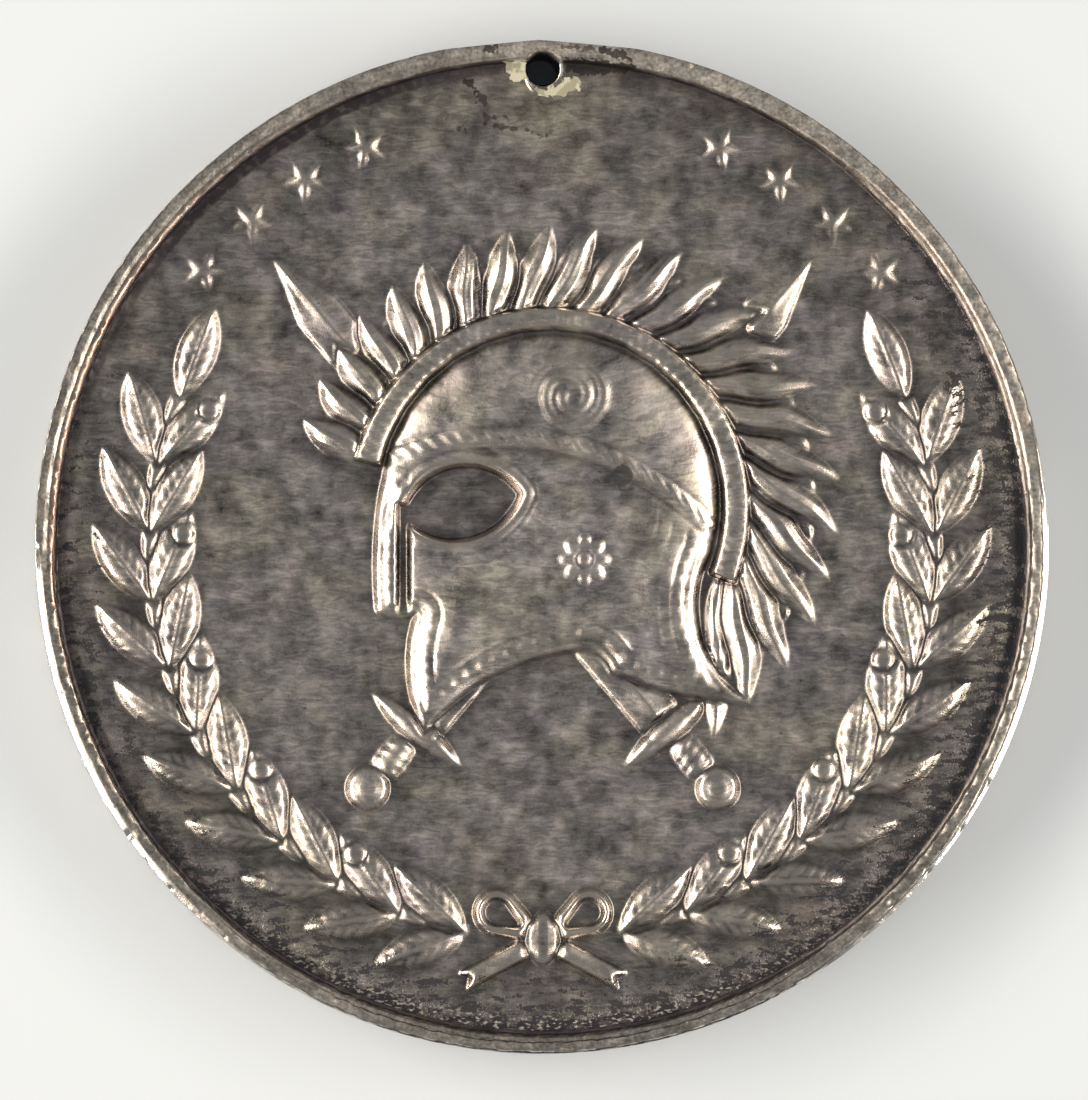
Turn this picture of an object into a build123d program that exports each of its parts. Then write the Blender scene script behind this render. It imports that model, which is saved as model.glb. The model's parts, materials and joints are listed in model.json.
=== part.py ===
"""A struck silver war medal: one round disc with a raised rim on both faces, a trophy in raised relief on
the front, a plain back, and one hole drilled through the rim at the top.

The medal lies on its back. The frame is in millimetres, +Z up, with the origin at the middle of the back
rim's flat and +Y towards the hole. The relief is a crested helmet over two crossed swords, inside two laurel
branches tied with a bow, with small stars in the border. It is one solid, because the real medal is one piece.
"""

import math
import os

from build123d import *

# The struck disc
medal_diameter = 36.0
rim_thickness = 3.2
rim_width = 0.75  # from the outer edge to the foot of the rim's inner wall
rim_wall_run = 0.18  # how far the inner wall slopes out as it rises
edge_rounding = 0.2
front_recess = 0.45  # the front field lies this far below the rim
back_recess = 0.3
root_depth = 0.08  # how far each raised form reaches down into the field

# The drilled hole
hole_diameter = 1.16
hole_edge_wall = 0.42  # metal left between the hole and the medal's edge

# The laurel branches, each a stem with pairs of leaves
border_width = 0.95  # bare field between the rim and the leaves
leaf_length = 3.5
leaf_width = 1.4
leaf_rise = 0.55
leaf_angle = 30.0  # between a leaf and its stem, in degrees
leaf_pairs = 10
stem_width = 0.5
stem_rise = 0.25
berry_diameter = 0.75
berry_rise = 0.42
branch_start_angle = 259.0  # where the left branch leaves the bow, in degrees from +X
branch_end_angle = 158.0

# The bow that ties them
knot_length = 2.0
knot_width = 1.3
knot_rise = 0.6
knot_gap = 0.4  # between the knot's side and the loops' openings
bow_loop_length = 2.7  # from the knot's middle to the loop's round end
bow_loop_width = 1.6
bow_tail_length = 3.2
bow_ribbon_width = 0.66
bow_rise = 0.42
bow_loop_angle = 150.0  # the direction of the left loop, in degrees from +X
bow_tail_angle = 208.0

# The stars in the border
star_radius = 0.85
star_waist_radius = 0.36
star_rise = 0.3
star_margin = 1.75  # from a star's centre to the foot of the rim
star_points = 5
star_angles = (39.0, 48.0, 57.0, 66.0)  # the right-hand stars, which the left-hand ones mirror

# The swords
sword_angle = 50.0  # each blade's slope from +X, in degrees
sword_drop = 1.2  # how far below the medal's middle they cross
sword_tip_margin = 3.3  # bare field between the point and the rim
blade_width = 1.6
blade_rise = 0.36
blade_point_length = 2.4
guard_length = 4.2
guard_width = 1.0
guard_rise = 0.6
grip_length = 2.7
grip_width = 1.15
grip_rise = 0.5
grip_overlap = 0.4  # how far the grip's pointed ends run under the guard and the pommel
pommel_diameter = 1.55
pommel_rise = 0.6
pommel_margin = 0.2  # bare field between the pommel and the leaves

# The helmet and its crest
trophy_gap = 0.4  # bare field between the leaves and the widest that the trophy may be
cheek_rise = 0.76  # at the middle of the helmet's lower part
cheek_edge_rise = 0.5
dome_rise = 1.05
dome_edge_rise = 0.8
eye_rim_rise = 0.9
eye_floor_rise = 0.14
holder_width = 0.8
holder_rise = 0.8
plume_rise = 0.4
lock_rise = 0.7
lock_width = 1.3
lock_count = 24

medal_radius = medal_diameter / 2
field_radius = medal_radius - rim_width
field_z = rim_thickness - front_recess
leaf_slope = math.radians(leaf_angle)
leaf_reach = leaf_length * math.sin(leaf_slope) + leaf_width / 2 * math.cos(leaf_slope)
branch_radius = field_radius - border_width - leaf_reach
wreath_inside = branch_radius - leaf_reach
trophy_radius = wreath_inside - trophy_gap

# The helmet's dome is a circle, with its centre and radius as shares of the trophy's radius.
dome_x = 0.02 * trophy_radius
dome_y = 0.12 * trophy_radius
dome_radius = 0.55 * trophy_radius

# The helmet's outline, from the brow over the dome to the nape, then back along the neck guard, the cheek
# guard and the nose guard. Each row is one arc, as shares of the dome's radius from the dome's centre. It starts
# where the row before it ends, and the first starts at the brow, where the last ends.
HELMET_ARCS = [
    # via x, via y, end x, end y
    (0.08, 1.02, 0.93, -0.26),  # dome
    (0.87, -0.70, 1.17, -1.13),  # nape
    (0.76, -1.08, 0.36, -0.95),  # lower edge of the neck guard
    (0.31, -0.87, 0.23, -0.82),  # notch behind the cheek
    (-0.25, -0.94, -0.72, -1.30),  # lower edge of the cheek guard
    (-0.82, -0.96, -0.78, -0.62),  # front edge of the cheek guard
    (-0.88, -0.64, -1.00, -0.60),  # foot of the nose guard
    (-1.01, -0.20, -0.96, 0.19),  # front of the nose guard
]
# The dome stands proud of the cheeks above a line from the brow to the nape: its start, middle and end
brow_line = ((-1.15, 0.12), (-0.05, 0.34), (1.15, -0.42))
dome_clear = 1.15  # a level above the dome
cheek_reach = 1.4  # from the dome's centre to the cheeks' lowest corner
# The eye opening's corners and the middles of its two edges
eye_front, eye_top, eye_back, eye_bottom = (-0.86, -0.06), (-0.56, 0.24), (-0.16, 0.08), (-0.48, -0.19)
eye_middle = (-0.51, 0.03)
eye_rim_scale = 1.3
# The slit that runs down from the eye between the nose guard and the cheek guard
slit_left, slit_right, slit_foot = -0.885, -0.80, -0.78

# The crest sweeps round the dome from above the brow to behind the nape. Its locks grow longer and lean
# further back on the way, slowly at first. Angles are in degrees, lengths are shares of the dome's radius.
crest_start_angle, crest_end_angle = 166.0, -22.0
crest_root = 1.08
first_lock_length, last_lock_length = 0.38, 0.86
first_lock_lean, last_lock_lean = 22.0, 72.0
lean_power = 1.6
plume_share = 0.85  # the plume is solid for this share of each lock's length, and loose tips beyond


def polar(radius, degrees):
    """The point at that radius and angle round the medal's middle."""
    return (radius * math.cos(math.radians(degrees)), radius * math.sin(math.radians(degrees)))


def ahead(start, distance, degrees):
    """The point at that distance from the start, in that direction."""
    step = polar(distance, degrees)
    return (start[0] + step[0], start[1] + step[1])


def on_dome(share):
    """A point given in shares of the dome's radius, in the medal's own millimetres."""
    return (dome_x + share[0] * dome_radius, dome_y + share[1] * dome_radius)


def placed(shape, centre, degrees=0):
    """A copy of a shape on the front field, at that centre and turned by that angle."""
    return Pos(centre[0], centre[1], field_z) * Rot(0, 0, degrees) * shape


def lens(length, width, rise):
    """A pointed, ridged form such as a leaf: what two balls side by side share, cut off below the field."""
    ridge_radius = ((length / 2) ** 2 + rise**2) / (2 * rise)
    sink = ridge_radius - rise
    offset = ((length / 2) ** 2 - (width / 2) ** 2) / width
    ball = Sphere(math.hypot(ridge_radius, offset))
    shared = Pos(0, offset, -sink) * ball & Pos(0, -offset, -sink) * ball
    return shared & Pos(0, 0, rise) * Box(2 * length, 2 * width, 2 * (rise + root_depth))


def knob(diameter, rise):
    """A round form of that diameter and rise, cut off below the field."""
    radius = ((diameter / 2) ** 2 + rise**2) / (2 * rise)
    ball = Pos(0, 0, rise - radius) * Sphere(radius)
    return ball & Pos(0, 0, rise) * Box(2 * diameter, 2 * diameter, 2 * (rise + root_depth))


def ring_band(radius, width, rise, start, end):
    """A rounded band that follows a circle from the start angle to the end angle, in degrees."""
    tube_radius = ((width / 2) ** 2 + rise**2) / (2 * rise)
    section = Plane.XZ * Pos(radius, rise - tube_radius) * Circle(tube_radius)
    return Rot(0, 0, start) * revolve(section, Axis.Z, end - start)


def flat_form(face, rise):
    """A flat-topped form with upright sides, let into the field."""
    return Pos(0, 0, -root_depth) * extrude(face, rise + root_depth)


def blank_disc():
    """The plain disc: rounded edge, flat rims and both recessed fields, as one turned profile."""
    edge = medal_radius - edge_rounding
    inner_rim = field_radius + rim_wall_run
    lower = Polyline((0, back_recess), (field_radius, back_recess), (inner_rim, 0), (edge, 0))
    lower_round = RadiusArc((edge, 0), (medal_radius, edge_rounding), -edge_rounding)
    shoulder = (medal_radius, rim_thickness - edge_rounding)
    side = Line((medal_radius, edge_rounding), shoulder)
    upper_round = RadiusArc(shoulder, (edge, rim_thickness), -edge_rounding)
    wall = Polyline((edge, rim_thickness), (inner_rim, rim_thickness), (field_radius, field_z))
    field = Polyline((field_radius, field_z), (0, field_z), (0, back_recess))
    profile = make_face([lower, lower_round, side, upper_round, wall, field])
    return revolve(Plane.XZ * profile, Axis.Z, 360)


def laurel_branch():
    """The left branch: its stem, pairs of leaves, a leaf at the tip and a berry in every second fork."""
    step = (branch_start_angle - branch_end_angle) / leaf_pairs
    leaf_form = lens(leaf_length, leaf_width, leaf_rise)
    berry = knob(berry_diameter, berry_rise)
    stem = ring_band(branch_radius, stem_width, stem_rise, branch_end_angle, branch_start_angle)
    pieces = [placed(stem, (0, 0))]
    for pair in range(leaf_pairs):
        stem_angle = branch_start_angle - pair * step
        base = polar(branch_radius, stem_angle)
        for lean in (leaf_angle, -leaf_angle):
            direction = stem_angle - 90 + lean
            pieces.append(placed(leaf_form, ahead(base, leaf_length / 2, direction), direction))
        if pair % 2:
            berry_radius = branch_radius - leaf_reach / 2
            pieces.append(placed(berry, polar(berry_radius, stem_angle - step)))
    tip = polar(branch_radius, branch_end_angle)
    direction = branch_end_angle - 90
    pieces.append(placed(leaf_form, ahead(tip, leaf_length / 2, direction), direction))
    return pieces


def teardrop(small_radius, small_place, large_radius, large_place):
    """The outline that wraps a small circle and a large one, whose middles lie at those places along X."""
    small = Pos(small_place, 0) * Circle(small_radius)
    large = Pos(large_place, 0) * Circle(large_radius)
    return make_hull(small.edges() + large.edges())


def bow():
    """The left half of the ribbon's bow: a loop with an opening, and a tail with a notched end."""
    knot = polar(branch_radius, 270)
    end_radius = bow_loop_width / 2
    end_place = bow_loop_length - end_radius
    half = bow_ribbon_width / 2
    loop_face = teardrop(half / 2, 0, end_radius, end_place)
    opening_radius = end_radius - half
    opening = teardrop(opening_radius / 4, knot_width / 2 + knot_gap, opening_radius, end_place)
    tail_face = make_face(
        Polyline(
            (0, -half),
            (bow_tail_length, -half),
            (bow_tail_length - half, 0),
            (bow_tail_length, half),
            (0, half),
            close=True,
        )
    )
    return [
        placed(flat_form(loop_face - opening, bow_rise), knot, bow_loop_angle),
        placed(flat_form(tail_face, bow_rise), knot, bow_tail_angle),
    ]


def star():
    """A faceted star with one point along +X. Its sloping sides go on below the field."""
    corners = []
    for corner in range(2 * star_points):
        radius = star_waist_radius if corner % 2 else star_radius
        corners.append(polar(radius * (1 + root_depth / star_rise), corner * 180 / star_points))
    foot = make_face(Polyline(*corners, close=True))
    return Pos(0, 0, -root_depth) * loft([foot, Vertex(0, 0, star_rise + root_depth)])


def blade(length):
    """A ridged blade along +X, whose last stretch narrows and falls to a point."""
    half = blade_width / 2
    shoulder = length - blade_point_length
    low = -root_depth
    section = Polyline((-half, low), (half, low), (half, 0), (0, blade_rise), (-half, 0), close=True)
    plan = Polyline((0, -half), (shoulder, -half), (length, 0), (shoulder, half), (0, half), close=True)
    side = Polyline((0, low), (length, low), (length, 0), (shoulder, blade_rise), (0, blade_rise), close=True)
    bar = extrude(Plane.YZ * make_face(section), length)
    pointed = bar & flat_form(make_face(plan), blade_rise)
    return pointed & extrude(Plane.XZ * make_face(side), half, both=True)


def sword_reach(radius, way):
    """How far from the crossing a sword meets that circle: towards its point for way 1, its pommel for -1."""
    slope = math.radians(sword_angle)
    return way * sword_drop * math.sin(slope) + math.sqrt(radius**2 - (sword_drop * math.cos(slope)) ** 2)


def sword():
    """The sword that points up to the right: a blade, a guard, a grip and a pommel."""
    crossing = (0, -sword_drop)
    tip_place = sword_reach(field_radius - sword_tip_margin, 1)
    pommel_place = sword_reach(wreath_inside - pommel_margin - pommel_diameter / 2, -1)
    guard_place = pommel_place - grip_length
    pommel_middle = ahead(crossing, -pommel_place, sword_angle)
    guard_middle = ahead(crossing, -guard_place, sword_angle)
    grip_middle = ahead(guard_middle, -grip_length / 2, sword_angle)
    grip = lens(grip_length + 2 * grip_overlap, grip_width, grip_rise)
    return [
        placed(blade(tip_place + guard_place), guard_middle, sword_angle),
        placed(lens(guard_length, guard_width, guard_rise), guard_middle, sword_angle + 90),
        placed(grip, grip_middle, sword_angle),
        placed(knob(pommel_diameter, pommel_rise), pommel_middle),
    ]


def eye_face(scale):
    """The eye opening's almond, scaled about its middle."""
    corners = []
    for share in (eye_front, eye_top, eye_back, eye_bottom):
        corners.append(on_dome([middle + scale * (at - middle) for at, middle in zip(share, eye_middle)]))
    front, top, back, bottom = corners
    return make_face([ThreePointArc(front, top, back), ThreePointArc(back, bottom, front)])


def shallow_cap(reach, rise, edge_rise):
    """A ball over the helmet's middle, whose top falls from one rise to the other at that reach."""
    fall = rise - edge_rise
    radius = (reach**2 + fall**2) / (2 * fall)
    return Pos(dome_x, dome_y, rise - radius) * Sphere(radius)


def helmet():
    """The helmet: its cheeks, a dome that stands proud of them, and a raised rim round the eye."""
    outline, start = [], on_dome(HELMET_ARCS[-1][2:])
    for via_x, via_y, end_x, end_y in HELMET_ARCS:
        end = on_dome((end_x, end_y))
        outline.append(ThreePointArc(start, on_dome((via_x, via_y)), end))
        start = end
    whole = flat_form(make_face(outline), dome_rise)
    cheeks = whole & shallow_cap(cheek_reach * dome_radius, cheek_rise, cheek_edge_rise)
    line_start, line_middle, line_end = (on_dome(share) for share in brow_line)
    above = on_dome((0, dome_clear))[1]
    over_line = [
        ThreePointArc(line_start, line_middle, line_end),
        Polyline(line_end, (line_end[0], above), (line_start[0], above), line_start),
    ]
    skull = whole & flat_form(make_face(over_line), dome_rise)
    skull &= shallow_cap(dome_radius, dome_rise, dome_edge_rise)
    eye_rim = whole & flat_form(eye_face(eye_rim_scale), eye_rim_rise)
    return [placed(form, (0, 0)) for form in (cheeks, skull, eye_rim)]


def eye_openings():
    """What is sunk into the helmet: the eye's almond and the slit below it."""
    left, top = on_dome((slit_left, eye_middle[1]))
    right, foot = on_dome((slit_right, slit_foot))
    slit = make_face(Polyline((left, foot), (right, foot), (right, top), (left, top), close=True))
    floor = Pos(0, 0, field_z + eye_floor_rise)
    return [floor * extrude(opening, dome_rise) for opening in (eye_face(1), slit)]


def lock_run(share):
    """The start, end, length and direction of the crest's lock at that share of the way round."""
    angle = crest_start_angle + share * (crest_end_angle - crest_start_angle)
    length = dome_radius * (first_lock_length + share * (last_lock_length - first_lock_length))
    direction = angle - first_lock_lean - share**lean_power * (last_lock_lean - first_lock_lean)
    root = ahead((dome_x, dome_y), crest_root * dome_radius, angle)
    return root, ahead(root, length, direction), length, direction


def crest():
    """The crest: a rounded holder that follows the dome, and a plume of locks that sweep back from it."""
    root_radius = crest_root * dome_radius
    holder = ring_band(root_radius, holder_width, holder_rise, crest_end_angle, crest_start_angle)
    runs = [lock_run(quarter / 4) for quarter in range(5)]
    roots = [run[0] for run in runs]
    tips = [ahead(run[0], plume_share * run[2], run[3]) for run in runs]
    plume_outline = [
        Line(roots[0], tips[0]),
        ThreePointArc(tips[0], tips[1], tips[2]),
        ThreePointArc(tips[2], tips[3], tips[4]),
        Line(tips[4], roots[4]),
        ThreePointArc(roots[4], roots[2], roots[0]),
    ]
    plume = flat_form(make_face(plume_outline), plume_rise)
    pieces = [placed(holder, (dome_x, dome_y)), placed(plume, (0, 0))]
    for lock in range(lock_count):
        root, tip, length, direction = lock_run(lock / (lock_count - 1))
        middle = ((root[0] + tip[0]) / 2, (root[1] + tip[1]) / 2)
        pieces.append(placed(lens(length + holder_width, lock_width, lock_rise), middle, direction))
    return pieces


def mirrored(pieces):
    """The pieces and their mirror images on the other side of the medal's upright middle line."""
    return pieces + [mirror(piece, Plane.YZ) for piece in pieces]


def drill():
    """What the drill takes away at the top of the rim."""
    hole_y = medal_radius - hole_edge_wall - hole_diameter / 2
    return Pos(0, hole_y, rim_thickness / 2) * Cylinder(hole_diameter / 2, 2 * rim_thickness)


def medal():
    """The whole medal as one solid."""
    star_form = star()
    stars = [placed(star_form, polar(field_radius - star_margin, angle), angle) for angle in star_angles]
    knot = placed(lens(knot_length, knot_width, knot_rise), polar(branch_radius, 270), 90)
    layers = [mirrored(laurel_branch() + stars), [knot, *mirrored(bow())], mirrored(sword()), crest(), helmet()]
    body = blank_disc()
    for forms in layers:
        body = body.fuse(*forms)
    return body.cut(drill(), *eye_openings())


os.makedirs("parts", exist_ok=True)
export_step(medal(), "parts/medal.step")
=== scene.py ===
"""The looks of the war medal: a struck silver disc, dark with toning and worn bright on its high edges.

The relief on the front is worked out as heights on a square grid, in millimetres, from the same sizes as
the solid. It gets what the solid leaves plain: veins, strands, wear, the burr round the drilled hole, dings
and the rim's own shape. The heights are read off onto a dense mesh of the whole medal, which is then
thinned out where it is flat.
"""

import json
import math

import bpy
import numpy as np
from mathutils import Matrix, Vector


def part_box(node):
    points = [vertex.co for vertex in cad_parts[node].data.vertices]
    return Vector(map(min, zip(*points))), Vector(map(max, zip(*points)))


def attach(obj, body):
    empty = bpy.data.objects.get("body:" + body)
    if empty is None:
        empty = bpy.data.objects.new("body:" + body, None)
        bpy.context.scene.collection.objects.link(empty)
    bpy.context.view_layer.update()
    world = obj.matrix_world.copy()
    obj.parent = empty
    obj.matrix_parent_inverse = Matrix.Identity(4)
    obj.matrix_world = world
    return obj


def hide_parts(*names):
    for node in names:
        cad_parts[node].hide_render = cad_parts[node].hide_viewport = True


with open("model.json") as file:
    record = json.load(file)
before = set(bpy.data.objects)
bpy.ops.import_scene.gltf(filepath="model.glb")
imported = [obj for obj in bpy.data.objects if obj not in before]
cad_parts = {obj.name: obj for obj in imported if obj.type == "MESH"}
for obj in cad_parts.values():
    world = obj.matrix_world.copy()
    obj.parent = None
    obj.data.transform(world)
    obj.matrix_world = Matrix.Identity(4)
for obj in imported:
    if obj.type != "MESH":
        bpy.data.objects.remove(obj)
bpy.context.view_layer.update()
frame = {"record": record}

MM = 0.001
rng = np.random.default_rng(36)

# The disc, in millimetres, with its hole as the frame gives it
medal_low, medal_high = (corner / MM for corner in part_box("medal"))
medal_radius = (medal_high.x - medal_low.x) / 2
rim_thickness, rim_width, rim_wall_run, edge_rounding = 3.2, 0.75, 0.18, 0.2
front_recess, back_recess = 0.45, 0.3
field_radius = medal_radius - rim_width
field_z = rim_thickness - front_recess
hole_mount = next(mount for mount in frame["record"]["mounts"] if mount["name"] == "suspension_hole")
hole_radius = hole_mount["dims"]["r_mm"]
hole_centre = (hole_mount["pos_m"][0] / MM, hole_mount["pos_m"][1] / MM)

# The laurel branches and their bow
border_width, leaf_length, leaf_width, leaf_rise, leaf_angle, leaf_pairs = 0.95, 3.5, 1.4, 0.55, 30.0, 10
stem_width, stem_rise, berry_diameter, berry_rise = 0.5, 0.25, 0.75, 0.42
branch_start_angle, branch_end_angle = 259.0, 158.0
knot_length, knot_width, knot_rise, knot_gap = 2.0, 1.3, 0.6, 0.4
bow_loop_length, bow_loop_width, bow_tail_length, bow_ribbon_width, bow_rise = 2.7, 1.6, 3.2, 0.66, 0.42
bow_loop_angle, bow_tail_angle = 150.0, 208.0
leaf_slope = math.radians(leaf_angle)
leaf_reach = leaf_length * math.sin(leaf_slope) + leaf_width / 2 * math.cos(leaf_slope)
branch_radius = field_radius - border_width - leaf_reach
wreath_inside = branch_radius - leaf_reach

# The stars in the border
star_radius, star_waist_radius, star_rise, star_margin, star_points = 0.85, 0.36, 0.3, 1.75, 5
star_angles = (39.0, 48.0, 57.0, 66.0)

# The swords
sword_angle, sword_drop, sword_tip_margin = 50.0, 1.2, 3.3
blade_width, blade_rise, blade_point_length = 1.6, 0.36, 2.4
guard_length, guard_width, guard_rise = 4.2, 1.0, 0.6
grip_length, grip_width, grip_rise, grip_overlap = 2.7, 1.15, 0.5, 0.4
pommel_diameter, pommel_rise, pommel_margin = 1.55, 0.6, 0.2

# The helmet and its crest
trophy_gap = 0.4
trophy_radius = wreath_inside - trophy_gap
dome_centre, dome_radius = (0.02 * trophy_radius, 0.12 * trophy_radius), 0.55 * trophy_radius
eye_floor_rise = 0.14
holder_width, holder_rise, plume_rise, lock_rise, lock_width, lock_count = 0.8, 0.8, 0.4, 0.7, 1.3, 24
HELMET_ARCS = [
    # via x, via y, end x, end y
    (0.08, 1.02, 0.93, -0.26),  # dome
    (0.87, -0.70, 1.17, -1.13),  # nape
    (0.76, -1.08, 0.36, -0.95),  # lower edge of the neck guard
    (0.31, -0.87, 0.23, -0.82),  # notch behind the cheek
    (-0.25, -0.94, -0.72, -1.30),  # lower edge of the cheek guard
    (-0.82, -0.96, -0.78, -0.62),  # front edge of the cheek guard
    (-0.88, -0.64, -1.00, -0.60),  # foot of the nose guard
    (-1.01, -0.20, -0.96, 0.19),  # front of the nose guard
]
brow_line = ((-1.15, 0.12), (-0.05, 0.34), (1.15, -0.42))
cheek_reach = 1.4
eye_front, eye_top, eye_back, eye_bottom = (-0.86, -0.06), (-0.56, 0.24), (-0.16, 0.08), (-0.48, -0.19)
slit_left, slit_right, slit_foot, slit_top = -0.885, -0.80, -0.78, 0.03
CHEEK_SWELLS = [
    # from, to, rise, width
    ((-0.42, -0.42), (-0.62, -1.02), 0.16, 0.13),
    ((0.62, -0.30), (0.82, -0.85), 0.15, 0.14),
    ((-0.02, -0.05), (0.45, -0.12), 0.08, 0.12),
]
crest_start_angle, crest_end_angle, crest_root = 166.0, -22.0, 1.08
first_lock_length, last_lock_length = 0.38, 0.86
first_lock_lean, last_lock_lean, lean_power, plume_share = 22.0, 72.0, 1.6, 0.85

# The rim's profiles: each starts so many degrees round from the top, anticlockwise, and gives heights above
# the field at distances in from the medal's edge
RIM_STRETCHES = [
    # the top
    (-20, [0, 0.03, 0.08, 0.6, 0.66, 0.75, 0.79], [0.33, 0.41, 0.445, 0.45, 0.42, 0.03, 0]),
    # the left: worn to a bevel
    (14, [0, 0.02, 0.05, 0.29, 0.44, 0.47, 0.68, 0.75, 0.78],
     [0.31, 0.355, 0.36, 0.366, 0.446, 0.45, 0.395, 0.05, 0]),
    # low on the left: worn round outside
    (92, [0, 0.03, 0.24, 0.28, 0.6, 0.66, 0.8], [0.24, 0.325, 0.437, 0.45, 0.44, 0.05, 0]),
    # the bottom: grooved
    (140, [0, 0.06, 0.1, 0.36, 0.4, 0.44, 0.56, 0.68, 0.74],
     [0.25, 0.36, 0.43, 0.45, 0.4, 0.45, 0.45, 0.05, 0]),
    # low on the right: worn round outside, with a narrow ledge inside
    (213, [-0.05, 0.12, 0.16, 0.2, 0.6, 0.64, 0.74, 0.84], [0.262, 0.354, 0.41, 0.45, 0.45, 0.26, 0.25, 0]),
    # the right: worn further round
    (240, [-0.05, 0.2, 0.23, 0.26, 0.6, 0.64, 0.74, 0.84], [0.262, 0.379, 0.42, 0.45, 0.45, 0.26, 0.25, 0]),
    # above that: two thin bevels inside
    (275, [0, 0.03, 0.08, 0.49, 0.6, 0.63, 0.67, 0.79, 0.82, 0.86],
     [0.27, 0.38, 0.44, 0.45, 0.388, 0.3, 0.29, 0.222, 0.04, 0]),
    # the top, on the right
    (320, [0, 0.03, 0.08, 0.58, 0.68, 0.76, 0.82], [0.33, 0.41, 0.445, 0.45, 0.39, 0.04, 0]),
]
# Where its outer bevel is too narrow to be thinned out, by the same angles, and how wide it is there
BEVEL_STRETCHES, bevel_width = ((90, 145), (208, 284)), 0.21
# The rim's tones by the same angles: how rubbed its top is, how dark the field is along its foot, with dirt
# and painted shade, how red its inner edge and how bright its outer edge is, how flecked the crust beside it
# is, and the place and darkness of its outer, middle and inner dark line, which is dirt and painted shade
RIM_TONE_NAMES = [
    "rubbed", "foot_dirt_and_shade", "rosy", "shine", "flecked",
    "outer", "outer_dark", "middle", "middle_dark", "inner", "inner_dark",
]
RIM_TONES = [
    # angle and the numbers named above
    (0, 0.75, 0.7, 0, 0, 0, 0.02, 0.5, 0.4, 0, 0.76, 0.8),
    (20, 0.5, 1, 0.1, 0, 0, 0.03, 0.5, 0.3, 0.2, 0.8, 1),
    (45, 0.3, 1, 0.5, 0, 0, 0.05, 0.8, 0.28, 0.3, 0.8, 1),
    (65, 0.22, 0.6, 1, 0, 0, 0.05, 0.9, 0.28, 0.4, 0.8, 1),
    (88, 0.2, 0.5, 1, 0.2, 0, 0.06, 0.7, 0.28, 0.4, 0.76, 1),
    (100, 0.3, 0.75, 0.4, 1, 0, 0.25, 0.3, 0.46, 0.1, 0.68, 1),
    (128, 0.38, 0.8, 0, 1, 0.2, 0.25, 0.3, 0.46, 0.2, 0.68, 1),
    (142, 0.45, 0.85, 0, 0.2, 0.5, 0.12, 0.5, 0.46, 0.6, 0.68, 1),
    (165, 0.5, 0.7, 0, 0, 1, 0.04, 1, 0.39, 1, 0.66, 1),
    (205, 0.42, 0.6, 0, 0.1, 1, 0.04, 1, 0.4, 1, 0.66, 1),
    (220, 0.32, 0.6, 0, 0.7, 0.4, 0.16, 0.8, 0.42, 0.5, 0.66, 0.9),
    (232, 0.35, 0.6, 0, 1, 0.1, 0.16, 0.8, 0.45, 0.2, 0.64, 0.9),
    (250, 0.7, 0.8, 0, 1, 0, 0.23, 0.7, 0.45, 0, 0.64, 0.9),
    (274, 0.75, 0.8, 0, 1, 0, 0.23, 0.7, 0.45, 0, 0.63, 0.9),
    (284, 0.75, 0.4, 0.3, 0, 0, 0.06, 0.7, 0.45, 0, 0.64, 0.5),
    (316, 0.65, 0.4, 0.2, 0, 0, 0.04, 0.7, 0.45, 0, 0.64, 0.5),
    (335, 0.75, 0.5, 0, 0, 0, 0.02, 0.5, 0.4, 0, 0.76, 0.8),
    (360, 0.75, 0.5, 0, 0, 0, 0.02, 0.5, 0.4, 0, 0.76, 0.8),
]
RIM_LINE_WIDTHS = {"outer": 0.035, "middle": 0.035, "inner": 0.055}

# How soft the strike is, and how far the high places are rubbed down
foot_softness = 0.05
seam_width, seam_share = 0.13, 0.7
strike_blur, deepest = 0.045, -0.3
wear_reach, wear_share = 0.3, 0.45
skull_run, cheek_run = 2.4, 1.4
skull_middle_rise, skull_side_rise, cheek_middle_rise, cheek_side_rise = 1.0, 0.62, 0.66, 0.44

# The photograph: its size, and where the medal's outer edge lies in it, in pixels
photo_width, photo_height = 1088, 1100
edge_left, edge_right, edge_top, edge_bottom = 36.0, 1047.5, 38.4, 1050.6
pixels_per_mm = (edge_right - edge_left) / (2 * medal_radius)
middle_x, middle_y = (edge_left + edge_right) / 2, (edge_top + edge_bottom) / 2

# Patches of the surface by their corners' pixels in the photograph
PATCHES = {
    "scrape": [
        [(503, 60), (522, 58), (526, 62), (526, 74), (520, 82), (511, 81), (507, 70)],  # left of the hole
        [(533, 86), (545, 88), (560, 80), (568, 74), (576, 76), (583, 80), (577, 88), (563, 94), (545, 95),
         (536, 92)],  # under it
    ],
    "stain": [
        [(482, 44), (496, 43), (495, 50), (491, 54), (484, 51)],  # on the rim, left of the hole
        [(597, 46), (624, 50), (624, 57), (610, 56), (598, 52)],  # on the rim, right of it
        [(565, 58), (624, 61), (640, 66), (610, 71), (582, 73), (566, 69)],  # in the field under that
        [(462, 77), (472, 76), (474, 88), (464, 86)],  # in the field, left of the hole
        [(466, 91), (473, 90), (477, 97), (470, 99)],
        [(420, 81), (428, 80), (430, 83), (421, 84)],
    ],
    "red": [
        [(561, 44), (594, 46), (594, 51), (575, 49), (561, 48)],
        [(449, 127), (480, 121), (505, 124), (528, 128), (505, 129), (478, 126), (452, 131)],
        [(476, 117), (482, 112), (494, 115), (506, 113), (507, 118), (492, 119), (484, 121)],
        [(530, 129), (546, 131), (552, 134), (540, 135), (531, 133)],
        [(476, 90), (486, 94), (484, 104), (477, 101)],
    ],
}
far_from_patch = 0.3
WARM_PATCH = (548, 104)
ROUND_STAIN = (620.5, 475)
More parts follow.
